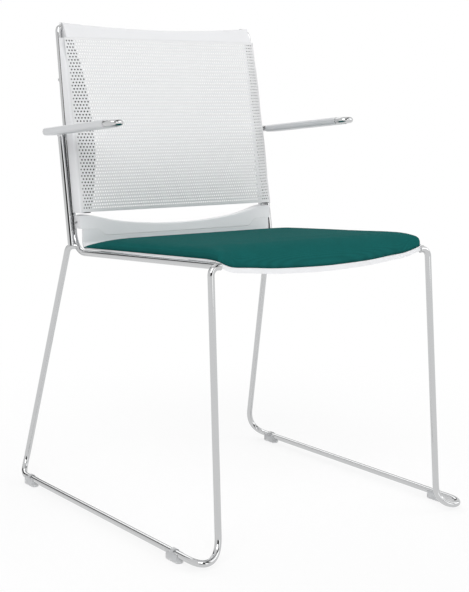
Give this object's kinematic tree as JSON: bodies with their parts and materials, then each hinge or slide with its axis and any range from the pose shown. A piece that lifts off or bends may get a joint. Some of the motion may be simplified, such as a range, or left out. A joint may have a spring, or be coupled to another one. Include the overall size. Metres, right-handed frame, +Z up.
{
  "type": "mesh office chair",
  "caption": "Office visitor armchair on bent bright rods with a sled base, a see-through mesh back, a padded teal seat and slim loop arms.",
  "frame": {"origin": "centre of the footprint box on the floor", "axes": "+Z up, -Y the way the sitter faces, +X the sitter's left"},
  "size_m": [0.5644, 0.6208, 0.84],
  "materials": {
    "chrome_rod": "bright plated round rod",
    "shell_plastic": "fine satin, light grey",
    "arm_plastic": "satin, light grey",
    "seat_cloth": "fine plain weave, dark teal",
    "back_net": "knitted spacer net, light grey",
    "glide_plastic": "milky, half clear",
    "board_wood": "raw plywood",
    "screw_steel": "zinc plated"
  },
  "bodies": {
    "root": {"sled_rod_left": "chrome_rod", "seat_back_rod_left": "chrome_rod", "arm_rod_left": "chrome_rod", "arm_pad_left": "arm_plastic", "glide_front_left": "glide_plastic", "glide_rear_left": "glide_plastic", "back_side_member_left": "shell_plastic", "sled_rod_right": "chrome_rod", "seat_back_rod_right": "chrome_rod", "arm_rod_right": "chrome_rod", "arm_pad_right": "arm_plastic", "glide_front_right": "glide_plastic", "glide_rear_right": "glide_plastic", "back_side_member_right": "shell_plastic", "front_crossbar": "chrome_rod", "rear_crossbar": "chrome_rod", "crossbar_saddles": "shell_plastic", "saddle_screws": "screw_steel", "seat_shell": "shell_plastic", "seat_pad_board": "board_wood", "seat_cushion": "seat_cloth", "back_mesh": "back_net", "back_top_rail": "shell_plastic", "lumbar_belt": "shell_plastic", "back_screws": "screw_steel", "rail_screws": "screw_steel"}
  },
  "joints": []
}
